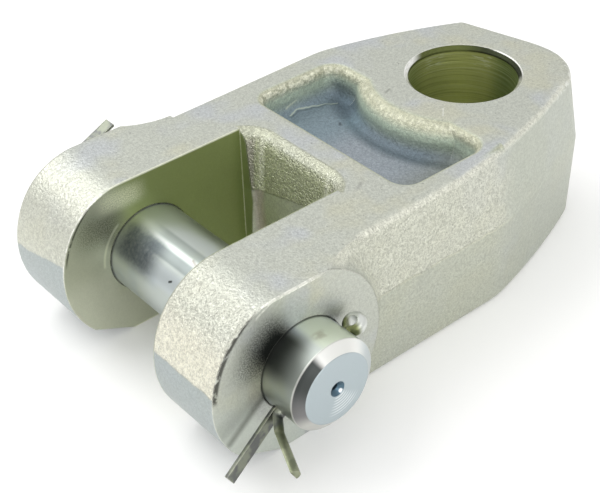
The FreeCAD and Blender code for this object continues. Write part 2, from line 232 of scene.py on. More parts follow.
# Scratches on the forging: start and end in millimetres, half width, cover and tone
SCRATCHES = (
    ((-18.2, -9.9, 23.6), (-21.3, -12.9, 23.6), 0.12, 0.8, (236, 238, 232)),
    ((-21.9, 7.9, 23.6), (-24.0, 7.2, 23.6), 0.3, 0.6, (120, 122, 112)),
    ((-62.5, -23.2, 23.6), (-59.8, -21.8, 23.6), 0.5, 0.4, (138, 138, 134)),
    ((-19.4, -39.0, -5.4), (-18.6, -38.6, -8.6), 0.22, 0.6, (120, 128, 134)),
    ((-17.4, -38.6, -5.0), (-16.9, -38.4, -7.4), 0.18, 0.5, (126, 134, 138)),
    ((-60.2, -39.0, -4.2), (-58.0, -39.0, -3.2), 0.16, 0.7, (226, 226, 214)),
)

# Painted reflections on the pin between the cheeks, as light and dark bands: from and to in degrees
# round it, softness, cover and tone
PIN_REFLECTION_BANDS = (
    (96, 107.5, 2, 0.65, (124, 132, 126)),
    (109.5, 113, 1.5, 0.7, (206, 209, 206)),
    (115.5, 129, 2, 0.75, (108, 116, 116)),
    (134, 158, 5, 0.6, (196, 204, 208)),
    (30, 66, 12, 0.6, (120, 128, 108)),
)


def srgb(red, green, blue):
    """A colour given on the 0 to 255 scale, as linear values."""
    linear = []
    for value in (red, green, blue):
        share = value / 255
        linear.append(share / 12.92 if share <= 0.04045 else ((share + 0.055) / 1.055) ** 2.4)
    return (*linear, 1.0)


def tone(name):
    """One of the named tones, as linear values."""
    return srgb(*TONES[name])


class Graph:
    """Short names for the nodes that a procedural material is put together from."""

    def __init__(self, name):
        self.material = bpy.data.materials.new(name)
        self.material.use_nodes = True
        self.nodes = self.material.node_tree.nodes
        self.links = self.material.node_tree.links
        self.shader = self.nodes["Principled BSDF"]
        self.place = self.nodes.new("ShaderNodeTexCoord").outputs["Object"]

    def set(self, socket, value):
        """Link an output or write a plain value to an input socket."""
        if isinstance(value, bpy.types.NodeSocket):
            self.links.new(value, socket)
        else:
            socket.default_value = value

    def math(self, operation, a, b=0.0, c=0.0):
        """One step of arithmetic."""
        node = self.nodes.new("ShaderNodeMath")
        node.operation = operation
        for socket, value in zip(node.inputs, (a, b, c)):
            self.set(socket, value)
        return node.outputs[0]

    def add(self, a, b):
        return self.math("ADD", a, b)

    def times(self, a, b):
        return self.math("MULTIPLY", a, b)

    def both(self, *masks):
        """The product of several masks."""
        result = masks[0]
        for mask in masks[1:]:
            result = self.times(result, mask)
        return result

    def invert(self, mask):
        return self.math("SUBTRACT", 1.0, mask)

    def larger(self, a, b):
        return self.math("MAXIMUM", a, b)

    def length(self, a, b):
        """The length of a flat vector given by its two parts."""
        return self.math("SQRT", self.add(self.times(a, a), self.times(b, b)))

    def step(self, value, low, high):
        """0 below low and 1 above high, with a smooth rise between; falls where low is larger."""
        node = self.nodes.new("ShaderNodeMapRange")
        node.interpolation_type = "SMOOTHSTEP"
        rising = high > low
        self.set(node.inputs["Value"], value)
        node.inputs["From Min"].default_value = min(low, high)
        node.inputs["From Max"].default_value = max(low, high)
        node.inputs["To Min"].default_value = 0.0 if rising else 1.0
        node.inputs["To Max"].default_value = 1.0 if rising else 0.0
        return node.outputs["Result"]

    def band(self, value, low, high, soft):
        """1 between low and high, with soft sides."""
        return self.both(self.step(value, low - soft, low + soft),
                         self.step(value, high + soft, high - soft))

    def split(self, vector):
        """The three parts of a vector."""
        node = self.nodes.new("ShaderNodeSeparateXYZ")
        self.set(node.inputs[0], vector)
        return node.outputs[0], node.outputs[1], node.outputs[2]

    def axes(self):
        """The place on the piece in millimetres, as its x, y and z."""
        return self.split(self.scale(self.place, MM_PER_METRE))

    def normal_axes(self):
        """The direction that the surface faces, as its x, y and z."""
        return self.split(self.nodes.new("ShaderNodeTexCoord").outputs["Normal"])

    def noise(self, size_mm, detail=2.0, roughness=0.5, stretch=(1, 1, 1), shift=0.0):
        """Noise with lumps of about a given size, from 0 to 1."""
        mapping = self.nodes.new("ShaderNodeMapping")
        self.set(mapping.inputs["Vector"], self.place)
        mapping.inputs["Scale"].default_value = stretch
        mapping.inputs["Location"].default_value = (shift, shift, shift)
        node = self.nodes.new("ShaderNodeTexNoise")
        self.set(node.inputs["Vector"], mapping.outputs[0])
        node.inputs["Scale"].default_value = MM_PER_METRE / size_mm
        node.inputs["Detail"].default_value = detail
        node.inputs["Roughness"].default_value = roughness
        return node.outputs["Fac"]

    def mix(self, share, a, b):
        """Blend two colours."""
        node = self.nodes.new("ShaderNodeMix")
        node.data_type = "RGBA"
        self.set(node.inputs["Factor"], share)
        self.set(node.inputs["A"], a)
        self.set(node.inputs["B"], b)
        return node.outputs["Result"]

    def paint(self, colour, mask, cover, name):
        """Lay a named tone over a colour where the mask is, with a given cover."""
        return self.mix(self.times(mask, cover), colour, tone(name))

    def scale(self, colour, gain):
        """A colour, or another vector, multiplied by a factor."""
        node = self.nodes.new("ShaderNodeVectorMath")
        node.operation = "SCALE"
        self.set(node.inputs[0], colour)
        self.set(node.inputs["Scale"], gain)
        return node.outputs[0]

    def blend(self, share, a, b):
        """Blend two numbers."""
        node = self.nodes.new("ShaderNodeMix")
        node.data_type = "FLOAT"
        self.set(node.inputs["Factor"], share)
        self.set(node.inputs["A"], a)
        self.set(node.inputs["B"], b)
        return node.outputs["Result"]

    def near_line(self, x, y, z, start, end, radius, soft):
        """1 close to a straight mark between two places in millimetres, and 0 away from it.

        An axis given as the number 0 leaves that direction out.
        """
        start = Vector(start)
        run = Vector(end) - start
        square_length = run.length_squared
        offsets = [self.add(axis, -origin) for axis, origin in zip((x, y, z), start)]
        along = self.times(offsets[0], run.x / square_length)
        along = self.math("MULTIPLY_ADD", offsets[1], run.y / square_length, along)
        along = self.math("MULTIPLY_ADD", offsets[2], run.z / square_length, along)
        along = self.math("MINIMUM", self.larger(along, 0.0), 1.0)
        total = None
        for offset, part in zip(offsets, run):
            gap = self.math("MULTIPLY_ADD", along, -part, offset)
            square = self.times(gap, gap)
            total = square if total is None else self.add(total, square)
        return self.step(self.math("SQRT", total), radius + soft, max(radius - soft, 0.0))

    def edges(self, radius_mm):
        """How much an edge within the radius turns the surface, from 0 on a flat to 1, and the
        rounded normal."""
        bevel = self.nodes.new("ShaderNodeBevel")
        bevel.samples = BEVEL_SAMPLES
        bevel.inputs["Radius"].default_value = radius_mm / MM_PER_METRE
        geometry = self.nodes.new("ShaderNodeNewGeometry")
        dot = self.nodes.new("ShaderNodeVectorMath")
        dot.operation = "DOT_PRODUCT"
        self.set(dot.inputs[0], bevel.outputs[0])
        self.set(dot.inputs[1], geometry.outputs["Normal"])
        return self.step(dot.outputs["Value"], EDGE_MARK_START, EDGE_MARK_FULL), bevel.outputs[0]

    def bump(self, height, normal):
        """Relief from a height in millimetres, on top of a given normal."""
        node = self.nodes.new("ShaderNodeBump")
        node.inputs["Strength"].default_value = 1.0
        node.inputs["Distance"].default_value = 1 / MM_PER_METRE
        self.set(node.inputs["Height"], height)
        self.set(node.inputs["Normal"], normal)
        return node.outputs["Normal"]

    def finish(self, colour, roughness, metallic, normal):
        """Set the shader's own sockets and give the material back."""
        self.set(self.shader.inputs["Base Color"], colour)
        self.set(self.shader.inputs["Roughness"], roughness)
        self.set(self.shader.inputs["Metallic"], metallic)
        self.set(self.shader.inputs["Normal"], normal)
        return self.material


def zinc_tints(graph, plain, lilac, straw):
    """The plating's drifting colour: a plain tone with lilac and straw-yellow clouds."""
    cloud = graph.step(graph.noise(22, 2, 0.55), 0.5, 0.66)
    warm = graph.step(graph.noise(17, 2, 0.55, shift=0.31), 0.5, 0.68)
    colour = graph.paint(tone(plain), cloud, 0.75, lilac)
    return graph.paint(colour, warm, 0.7, straw)


def around_pin(graph, x, z):
    """The distance from the pin's axis, and the angle round it in degrees: 90 at the top, 180 at
    the fork's end and 270 below."""
    off_x = graph.add(x, -PIN_X)
    distance = graph.length(off_x, z)
    angle = graph.times(graph.math("ARCTAN2", z, off_x), 180 / math.pi)
    behind = graph.math("LESS_THAN", angle, -90.0)
    return distance, graph.math("MULTIPLY_ADD", behind, 360.0, angle)


def near_boss_marks(graph, colour, x, y, z, distance, angle):
    """The near boss: painted shade and reflection as a dark smudge beside the pin, the split pin
    leg's painted shadow and reflection as a streak below, painted shade in the crease round the boss
    and in the gap round the pin, a scored rim and a painted highlight on the lip.
    """
    near_face = graph.step(y, -BOSS_Y + 0.6, -BOSS_Y + 0.2)
    # Painted shade and reflection: a dark smudge beside the pin
    shade_smudge = graph.both(near_face, graph.step(distance, 25.5, 12.5), graph.step(angle, 94, 124),
                        graph.step(angle, 182, 136))
    sand = graph.step(graph.noise(0.42, 1), 0.34, 0.66)
    pale = graph.both(near_face, graph.step(angle, 150, 200), graph.step(distance, 15, 19))
    colour = graph.paint(colour, pale, 0.6, "pale face")
    # Painted shade: a darker veil round the smudge
    shade_veil = graph.both(near_face, graph.step(distance, 27, 17), graph.band(angle, 112, 168, 12),
                      graph.blend(sand, 0.1, 1.0))
    colour = graph.paint(colour, shade_veil, 0.6, "shade_veil")
    grain = graph.blend(shade_smudge, graph.blend(sand, 0.25, 1.3), 1.15)
    dark = graph.math("MINIMUM", graph.times(shade_smudge, grain), 0.97)
    colour = graph.mix(dark, colour, tone("shade_smudge"))
    # Painted shade in the crease where the boss face meets the cove
    crease_shade = graph.both(near_face, graph.band(distance, 25.25, 25.45, 0.16),
                         graph.step(angle, 96, 88))
    colour = graph.paint(colour, crease_shade, 0.7, "boss crease shade")
    # Painted shadow and reflection of the split pin's leg, as a dark streak below the pin
    streak = graph.near_line(x, y, z, (-111.0, -BOSS_Y, -3.2), (-122.4, -BOSS_Y, -12.4), 1.0, 1.0)
    colour = graph.paint(colour, graph.both(streak, near_face), 0.6, "streak")
    # Painted shade in the gap between the pin and its bore
    gap = graph.both(graph.step(distance, 13.2, 12.95),
                     graph.step(graph.math("ABSOLUTE", y), 19, 20))
    colour = graph.paint(colour, gap, 0.9, "pin gap shade")
    rim = graph.both(graph.step(y, -BOSS_Y + 0.26, -BOSS_Y + 0.14),
                     graph.step(distance, 25.6, 26.4), graph.step(angle, 112, 118),
                     graph.step(angle, 177, 172),
                     graph.step(graph.noise(2.4, 2, shift=0.2), 0.36, 0.5))
    colour = graph.paint(colour, rim, 0.85, "scored rim")
    # Painted highlight along the boss's lip
    lip = graph.both(graph.step(y, -BOSS_Y + 0.7, -BOSS_Y + 0.3), graph.band(angle, 76, 122, 4),
                     graph.blend(graph.step(graph.noise(0.9, 1), 0.35, 0.6), 0.35, 1.0),
                     graph.larger(graph.band(z, 23.0, 23.8, 0.1),
                                  graph.band(distance, 24.4, 25.0, 0.15)))
    colour = graph.paint(colour, lip, 0.85, "boss lip highlight")
    burr = graph.near_line(x, y, z, (-118.6, -43.0, 19.6), (-116.8, -42.6, 21.0), 0.5, 0.35)
    return graph.paint(colour, burr, 0.8, "burr")


def far_cheek_marks(graph, colour, y, distance, angle):
    """The far cheek's border: a chipped lip with a painted highlight, a dark crack and a tool's arc
    by the pin.
    """
    chipped = graph.blend(graph.step(graph.noise(1.2, 1, shift=0.5), 0.36, 0.6), 0.25, 1.0)
    # Painted highlight along the far cheek's lip, broken up by chips
    lip = graph.both(graph.band(y, FORK_HALF_GAP - 0.1, FORK_HALF_GAP + 0.5, 0.12), chipped,
                     graph.step(graph.normal_axes()[0], -0.2, -0.5),
                     graph.step(angle, 104, 116), graph.step(angle, 182, 170))
    colour = graph.paint(colour, lip, 0.85, "far lip highlight")
    crack = graph.both(graph.band(y, FORK_HALF_GAP - 0.3, FORK_HALF_GAP + 0.3, 0.1),
                       graph.band(distance, FORK_END_RADIUS - 1.0, FORK_END_RADIUS - 0.45, 0.2),
                       graph.band(angle, 128, 166, 5),
                       graph.step(graph.noise(2.0, 2), 0.32, 0.46))
    colour = graph.paint(colour, crack, 0.75, "far crack")
    arc = graph.both(graph.band(distance, 14.4, 15.1, 0.2), graph.band(angle, 128, 180, 3),
                     graph.band(y, FORK_HALF_GAP - 0.3, FORK_HALF_GAP + 0.3, 0.1))
    return graph.paint(colour, arc, 0.6, "tool arc")


def recess_marks(graph, colour, recess, x, y, z):
    """Two forging ridges along the recess's far wall, drawn as painted highlights with a line of
    painted shade beside the lower one, and a pit in its floor.
    """
    # The lower ridge: a painted highlight line with a line of painted shade beside it
    wavy = graph.math("MULTIPLY_ADD", graph.noise(2.6, 1), 1.1, graph.add(y, -0.55))
    ridge = None
    shade = None
    for (x_a, y_a), (x_b, y_b) in zip(RIDGE_PATH, RIDGE_PATH[1:]):
        light = graph.near_line(x, wavy, 0.0, (x_a, y_a, 0), (x_b, y_b, 0), 0.16, 0.18)
        dark = graph.near_line(x, wavy, 0.0, (x_a, y_a - RIDGE_SHADE_OFFSET, 0),
                               (x_b, y_b - RIDGE_SHADE_OFFSET, 0), 0.3, 0.35)
        ridge = light if ridge is None else graph.larger(ridge, light)
        shade = dark if shade is None else graph.larger(shade, dark)
    colour = graph.paint(colour, graph.both(recess, shade), 0.5, "ridge shade")
    colour = graph.paint(colour, graph.both(recess, ridge), 0.7, "ridge")
    # The upper ridge: a painted highlight line
    upper = graph.near_line(x, 0.0, z, (-42.6, 0, 16.2), (-38.4, 0, 17.2), 0.25, 0.25)
    colour = graph.paint(colour, graph.both(upper, recess, graph.step(y, 28, 29)), 0.8,
                         "upper ridge highlight")
    pit = graph.near_line(x, y, z, (-34.9, 14.6, 14.0), (-34.2, 15.5, 14.0), 0.35, 0.4)
    return graph.paint(colour, pit, 0.7, "pit")


def small_marks(graph, colour, x, y, z, depth):
    """Specks, scratches and chips at the places where the forging shows them."""
    specks = graph.both(graph.step(graph.noise(1.1, 1, shift=0.7), 0.71, 0.77),
                        graph.step(depth, 0.4, 0.1))
    colour = graph.paint(colour, specks, 0.5, "speck")
    for start, end, width, cover, scratch_tone in SCRATCHES:
        mark = graph.near_line(x, y, z, start, end, width, width)
        colour = graph.mix(graph.times(mark, cover), colour, srgb(*scratch_tone))
    chips = graph.both(graph.band(x, 11, 27, 2), graph.band(y, -27, -8, 2),
                       graph.step(z, 20.6, 21.6), graph.step(depth, 0.03, 0.2),
                       graph.step(graph.noise(1.7, 2), 0.5, 0.6))
    return graph.paint(colour, chips, 0.7, "chip")


def eye_marks(graph, colour, bore, rings, x, y, depth, eye_distance):
    """The eye: turning rings, painted shade at the bore's two ends, short bright streaks, painted
    shade in the far side of the mouth and painted highlights on a bright crescent and a pale rim.
    """
    across = graph.add(graph.times(x, ACROSS[0]), graph.times(y, ACROSS[1]))
    along = graph.add(graph.times(x, ALONG[0]), graph.times(y, ALONG[1]))
    # Painted shade: the bore darkens towards its two ends across the line of sight
    left = graph.step(across, -8.5, -14.5)
    right = graph.step(across, 8.0, 14.0)
    muted = graph.both(bore, graph.larger(graph.times(left, 0.6), graph.times(right, 0.85)))
    colour = graph.mix(muted, colour, tone("shaded bore end"))
    turned = graph.both(bore, graph.step(rings, 0.5, 0.64),
                        graph.blend(graph.step(depth, 12, 3), 0.35, 1.0))
    colour = graph.paint(colour, turned, 0.3, "light ring")
    colour = graph.paint(colour, graph.both(bore, graph.step(rings, 0.46, 0.36)), 0.25,
                         "dark ring")
    dashes = graph.step(graph.noise(0.5, 1, 0.5, stretch=(0.16, 0.16, 1), shift=0.3), 0.54, 0.66)
    streaks = graph.both(bore, dashes, graph.band(depth, 1.2, 6.0, 1.0),
                         graph.larger(graph.band(across, -9.5, -4.5, 1.5),
                                      graph.band(across, 5.0, 10.5, 1.5)))
    colour = graph.paint(colour, streaks, 0.8, "bore streak")
    # Painted shade in the far side of the bore's mouth, darkest on the right
    far_side = graph.both(graph.step(along, -5, -1), graph.step(depth, 1.7, 1.45))
    mouth_shade = graph.both(far_side,
                       graph.band(eye_distance, EYE_RADIUS - 0.3, EYE_RADIUS + 1.15, 0.06))
    mouth_shade_tone = graph.mix(graph.step(across, 0, 9), tone("mouth_shade"), tone("right mouth shade"))
    colour = graph.mix(mouth_shade, colour, mouth_shade_tone)
    # Painted highlight: a bright crescent on the far side of the mouth
    crescent_highlight = graph.both(far_side,
                          graph.step(eye_distance, EYE_RADIUS + 0.1, EYE_RADIUS + 0.25),
                          graph.step(eye_distance, EYE_RADIUS + 1.3, EYE_RADIUS + 1.15),
                          graph.step(across, -10.6, -14.8))
    colour = graph.mix(crescent_highlight, colour, tone("crescent_highlight"))
    # Painted highlight along the eye's pale lip
    right_lip = graph.both(graph.step(across, 9.0, 13.0),
                           graph.step(eye_distance, EYE_RADIUS + 0.89, EYE_RADIUS + 1.01))
    thin_lip = graph.both(graph.step(eye_distance, EYE_RADIUS + 1.09, EYE_RADIUS + 1.17),
                          graph.blend(graph.noise(1.8, 1), 0.3, 0.8))
    lip = graph.both(far_side, graph.step(eye_distance, EYE_RADIUS + 1.31, EYE_RADIUS + 1.21),
                     graph.larger(right_lip, thin_lip))
    return graph.paint(colour, lip, 0.9, "eye lip highlight")


def recess_colour(graph, colour, recess, depth, side, x, y, eye_distance):
    """The recess: green-grey walls, a pale rim with painted highlights, and a floor that turns blue
    at the foot, where painted shade darkens it, and painted shade in the far corner.
    """
    recess_floor = graph.both(recess, graph.step(depth, 4.6, 9.0))
    recess_rim = graph.both(recess, graph.step(depth, 4.4, 1.6))
    colour = graph.mix(recess, colour, tone("recess wall"))
    # The foot of the wall: a blue tint darkened by painted shade
    shaded_foot = graph.both(graph.step(eye_distance, 38.5, 34.5), graph.step(side, 30.0, 22.0))
    floor = graph.mix(shaded_foot, tone("recess floor"), tone("blue shaded foot"))
    floor = graph.paint(floor, graph.step(y, 2, 16), 0.6, "far floor")
    floor = graph.paint(floor, graph.step(y, -12, -26), 0.6, "near floor")
    colour = graph.mix(recess_floor, colour, floor)
    # Painted shade in the far corner
    far_corner_shade = graph.both(recess, graph.near_line(x, y, 0.0, (-23, 27, 0), (-29, 19, 0), 3.5, 2.5),
                            graph.step(depth, 2.5, 6.0))
    colour = graph.paint(colour, far_corner_shade, 0.65, "far corner shade")
    colour = graph.mix(recess_rim, colour, tone("recess rim"))
    # Painted highlights along the rim
    rim_highlight = graph.both(recess_rim, graph.step(graph.noise(1.5, 2, 0.6), 0.4, 0.62),
                       graph.step(depth, 0.2, 1.0))
    rim_highlight_cover = graph.blend(graph.step(y, 22, 28), 0.32, 0.75)
    return graph.paint(colour, rim_highlight, rim_highlight_cover, "rim highlight"), recess_rim


def cheek_colour(graph, colour, cheek, x, z):
    """The milled cheeks: olive, dull towards the fork's end, with a dark and a light patch."""
    muted = graph.larger(graph.step(x, PIN_X - 2, PIN_X - 14),
                        graph.both(graph.step(z, -4, -12), graph.step(x, PIN_X + 18, PIN_X + 8)))
    colour = graph.mix(cheek, colour, graph.mix(muted, tone("cheek"), tone("dull cheek")))
    low_cheek = graph.both(cheek, muted, graph.step(z, 2, -6))
    colour = graph.paint(colour, low_cheek, 0.7, "low cheek")
    sand = graph.blend(graph.step(graph.noise(0.34, 1, shift=0.6), 0.34, 0.66), 0.45, 1.15)
    dark_patch = graph.both(cheek, graph.band(x, -121, -108, 4), graph.band(z, 8.0, 17.5, 4), sand)
    colour = graph.paint(colour, dark_patch, 0.6, "dark patch")
    light_patch = graph.both(cheek, graph.band(x, -113, -100, 3), graph.band(z, 16.5, 22.0, 2),
                             sand)
    return graph.paint(colour, light_patch, 0.9, "light patch")


def root_colour(graph, colour, root, root_rim, root_upper, side, normal_z):
    """The forged root between the cheeks: painted highlights on its corners, purple bands and
    painted shade where it turns upward.
    """
    root_tone = graph.mix(root_upper, tone("low root"), tone("root"))
    # Painted highlight on the root's corners
    corner = graph.both(graph.band(side, 12.4, 14.4, 0.8), root_upper)
    root_tone = graph.paint(root_tone, corner, 0.9, "root corner highlight")
    purple = graph.both(graph.band(side, 15.8, 17.8, 0.6), root_upper)
    root_tone = graph.paint(root_tone, purple, 0.6, "root purple")
    low_purple = graph.both(graph.band(side, 12.4, 16.0, 1.2), graph.invert(root_upper))
    root_tone = graph.paint(root_tone, low_purple, 0.7, "low purple")
    # Painted shade where the root's surface turns upward
    root_tone = graph.paint(root_tone, graph.step(normal_z, 0.2, 0.6), 0.8, "root turn shade")
    colour = graph.mix(root, colour, root_tone)
    return graph.paint(colour, root_rim, 0.85, "root rim")


def forging_material():
    """Zinc on the forging: rough skin, milled cheeks, turned bore, ground end and blue recess."""
    graph = Graph("forged_zinc")
    x, y, z = graph.axes()
    normal_x, normal_y, normal_z = graph.normal_axes()
    side = graph.math("ABSOLUTE", y)
    depth = graph.math("SUBTRACT", HALF_HEIGHT, graph.math("ABSOLUTE", graph.add(z, -MIDDLE_Z)))
    eye_distance = graph.length(x, y)

    in_slot = graph.step(side, FORK_HALF_GAP + 0.3, FORK_HALF_GAP + 0.1)
    cheek = graph.both(in_slot, graph.step(x, CHEEK_END + 0.2, CHEEK_END))
    root = graph.both(in_slot, graph.band(x, CHEEK_END + 0.1, ROOT_END, 0.2),
                      graph.step(depth, 0.4, 2.4))
    root_rim = graph.both(graph.step(side, 25.0, 22.0),
                          graph.band(x, CHEEK_END + 0.1, ROOT_END, 0.6),
                          graph.step(depth, 2.6, 0.6), graph.step(normal_z, 0.999, 0.97))
    root_upper = graph.step(graph.math("MULTIPLY_ADD", y, 0.22, z), 8.6, 9.2)
    bore = graph.step(eye_distance, EYE_RADIUS + 0.12, EYE_RADIUS + 0.06)
    recess = graph.both(graph.step(depth, 0.0, 0.4),
                        graph.step(side, RECESS_HALF_WIDTH + 1.5, RECESS_HALF_WIDTH),
                        graph.band(x, RECESS_START, RECESS_END, 0.3))
    boss_face = graph.step(side, BOSS_Y - 0.35, BOSS_Y - 0.1)
    facing_side = graph.step(graph.math("ABSOLUTE", normal_y), 0.45, 0.8)
    nose = graph.both(graph.step(x, PIN_X + 6, PIN_X - 10), graph.step(normal_x, 0.02, -0.5))
    near_end = graph.both(nose, graph.step(y, 0, -10))

    # The parting line waves a little, lies higher at the near end and tilts at the far one
    height = graph.add(z, graph.times(graph.noise(4, 1), 1.4))
    height = graph.add(height, graph.times(near_end, -2.8))
    inward = graph.larger(graph.add(BOSS_Y, graph.times(y, -1.0)), 0.0)
    height = graph.add(height, graph.both(nose, graph.step(y, 0, 10), inward, -0.2))
    upper = graph.step(height, PARTING_Z + 0.4, PARTING_Z + 1.3)
    ground_edge = graph.add(x, graph.times(graph.noise(9, 2), 12))
    ground = graph.both(graph.step(ground_edge, GROUND_FROM - 6, GROUND_FROM + 8),
                        graph.step(depth, 0.4, 2.6), graph.invert(bore), graph.invert(recess))
    body_side = graph.both(facing_side, graph.invert(ground), graph.invert(boss_face))
    lower = graph.invert(upper)

    colour = zinc_tints(graph, "top", "lilac cloud", "straw cloud")
    colour = graph.paint(colour, graph.both(body_side, upper), 0.8, "side")
    colour = graph.paint(colour, graph.both(body_side, lower), 0.8, "low side")
    colour = graph.paint(colour, graph.both(nose, lower), 0.9, "low nose")
    colour = graph.paint(colour, graph.both(nose, upper), 0.75, "nose")
    # Painted light: the middle of the near fork end's nose is lighter
    colour = graph.paint(colour, graph.both(near_end, upper, graph.step(z, 19, 12)), 0.8,
                         "lit near nose")
    colour = graph.paint(colour, ground, 0.8, "ground end")
    # Painted highlight along the parting line on the body's sides
    seam_highlight = graph.both(graph.band(height, PARTING_Z + 0.45, PARTING_Z + 1.05, 0.3), body_side,
                      graph.step(x, PIN_X + 22, PIN_X + 30),
                      graph.step(graph.noise(3, 1), 0.3, 0.5))
    colour = graph.paint(colour, seam_highlight, 0.45, "seam_highlight")
    # Painted highlight on the rounded edges of the body's top and bottom
    crest_highlight = graph.both(graph.band(normal_z, 0.35, 0.86, 0.16), graph.step(depth, 3.2, 2.2),
                       graph.step(side, 20, 24), graph.step(x, PIN_X + 8, PIN_X + 18),
                       graph.blend(graph.noise(1.3, 2), 0.2, 1.0))
    colour = graph.paint(colour, crest_highlight, 0.75, "crest_highlight")
    colour, recess_rim = recess_colour(graph, colour, recess, depth, side, x, y, eye_distance)
    colour = cheek_colour(graph, colour, cheek, x, z)
    colour = root_colour(graph, colour, root, root_rim, root_upper, side, normal_z)
    # Painted highlight along the step at the end of the cheeks
    ledge_highlight = graph.both(graph.band(x, CHEEK_END - 0.1, CHEEK_END + 0.12, 0.06),
                       graph.band(side, FORK_HALF_GAP - 0.25, FORK_HALF_GAP + 0.1, 0.1))
    colour = graph.mix(ledge_highlight, colour, tone("ledge_highlight"))
    colour = graph.mix(bore, colour, tone("bore"))

    # How much of the forged skin's grain each region shows
    skin_amount = graph.blend(graph.both(body_side, upper), 0.3, 0.8)
    skin_amount = graph.blend(graph.both(body_side, lower), skin_amount, 0.34)
    nose_skin = graph.blend(upper, 0.16, graph.blend(near_end, 0.5, 0.85))
    for region, amount in ((ground, 0.14),
                           (nose, nose_skin),
                           (recess, 0.4),
                           (graph.larger(recess_rim, root_rim), 0.55),
                           (root, graph.blend(root_upper, 0.2, 1.1)),
                           (cheek, 0.06),
                           (boss_face, 0.2),
                           (bore, 0.0)):
        skin_amount = graph.blend(region, skin_amount, amount)
    grain = graph.noise(0.42, 2, 0.6)
    pebble = graph.noise(0.95, 1, 0.5, shift=0.4)
    shade = graph.step(graph.add(graph.times(grain, 0.65), graph.times(pebble, 0.35)), 0.34, 0.66)
    fleck = graph.blend(shade, -1.0, 1.0)
    least = graph.blend(graph.larger(cheek, bore), 0.5, 0.12)
    gain = graph.math("MULTIPLY_ADD", graph.times(fleck, graph.add(skin_amount, least)),
                      FLECK_DEPTH, 1.0)
    colour = graph.scale(colour, gain)
    glints = graph.both(graph.step(graph.noise(0.55, 1, shift=0.9), 0.66, 0.74), skin_amount,
                        graph.invert(recess))
    colour = graph.paint(colour, glints, 0.75, "glint")

    colour = small_marks(graph, colour, x, y, z, depth)
    colour = recess_marks(graph, colour, recess, x, y, z)
    distance, angle = around_pin(graph, x, z)
    colour = near_boss_marks(graph, colour, x, y, z, distance, angle)
    colour = far_cheek_marks(graph, colour, y, distance, angle)

    # Painted highlight along the far cheek's upper edge
    slot_lip_highlight = graph.both(graph.step(depth, 0.5, 0.2),
                          graph.band(x, PIN_X - 14, CHEEK_END - 0.5, 1.5),
                          graph.band(y, FORK_HALF_GAP - 0.1, FORK_HALF_GAP + 0.45, 0.1))
    colour = graph.paint(colour, slot_lip_highlight, 0.75, "slot lip highlight")
    edge, rounded = graph.edges(0.5)
    # Bright edges: edge wear together with painted highlight
    wear_and_highlight = graph.both(edge, graph.step(graph.noise(2.2, 2), 0.25, 0.55), graph.invert(bore))
    colour = graph.paint(colour, wear_and_highlight, 0.8, "worn edge highlight")
    rings = graph.noise(0.5, 1, 0.5, stretch=(0.02, 0.02, 1))
    colour = eye_marks(graph, colour, bore, rings, x, y, depth, eye_distance)

    relief = graph.times(graph.noise(6.5, 1), 0.16)
    skin = graph.times(graph.add(grain, graph.times(pebble, 1.2)), skin_amount)
    relief = graph.add(relief, graph.times(skin, SKIN_DEPTH))
    relief = graph.add(relief, graph.both(rings, bore, 0.12))
    roughness = graph.blend(recess, graph.blend(skin_amount, 0.42, 0.36), 0.62)
    return graph.finish(colour, roughness, ZINC_METALLIC, graph.bump(relief, rounded))


def pin_end_colour(graph, colour, x, z, distance, angle, out, faced):
    """The pin's ends: a chamfer with painted light and shade round it, dark on its left, a faced
    flat with painted light on its lower right, and a centre hole darkened by painted shade, with a
    painted glint.
    """
    chamfer = graph.both(graph.band(out, CHAMFER_START, END_FACE, 0.06),
                         graph.step(distance, 9.6, 9.8))
    # Painted light and shade round the chamfer, by the angle round the pin
    chamfer_light_and_shade = graph.mix(graph.step(angle, 120, 108), tone("shaded chamfer"),
                             tone("lit chamfer"))
    chamfer_light_and_shade = graph.mix(graph.step(angle, 60, 20), chamfer_light_and_shade, tone("right chamfer light"))
    chamfer_light_and_shade = graph.mix(graph.step(angle, 150, 196), chamfer_light_and_shade, tone("left chamfer shade"))
    chamfer_light_and_shade = graph.mix(graph.step(angle, 192, 222), chamfer_light_and_shade, tone("low chamfer light"))
    colour = graph.mix(graph.times(chamfer, 0.9), colour, chamfer_light_and_shade)
    end = graph.step(out, END_FACE - 0.1, END_FACE + 0.05)
    low_right = graph.add(graph.times(graph.add(x, -PIN_X), 0.3), graph.times(z, -0.95))
    direction = graph.math("DIVIDE", low_right, graph.add(distance, 0.01))
    lit = graph.both(graph.step(direction, 0.72, 0.97), graph.step(faced, -0.6, 0.8),
                     graph.step(distance, 9.0, 7.0), 0.9)
    colour = graph.mix(end, colour, graph.mix(lit, tone("end face"), tone("lit end face")))
    # Painted shade inside the centre hole
    hole = graph.both(graph.step(distance, CENTRE_HOLE_RADIUS + 0.1, CENTRE_HOLE_RADIUS - 0.1),
                      graph.step(out, 51, 52))
    colour = graph.mix(hole, colour, tone("shaded centre hole"))
    glint = graph.near_line(x, 0.0, z, (PIN_X + 1.0, 0, -1.5), (PIN_X + 1.4, 0, -1.1), 0.22, 0.22)
    return graph.mix(graph.times(hole, glint), colour, tone("hole glint")), end


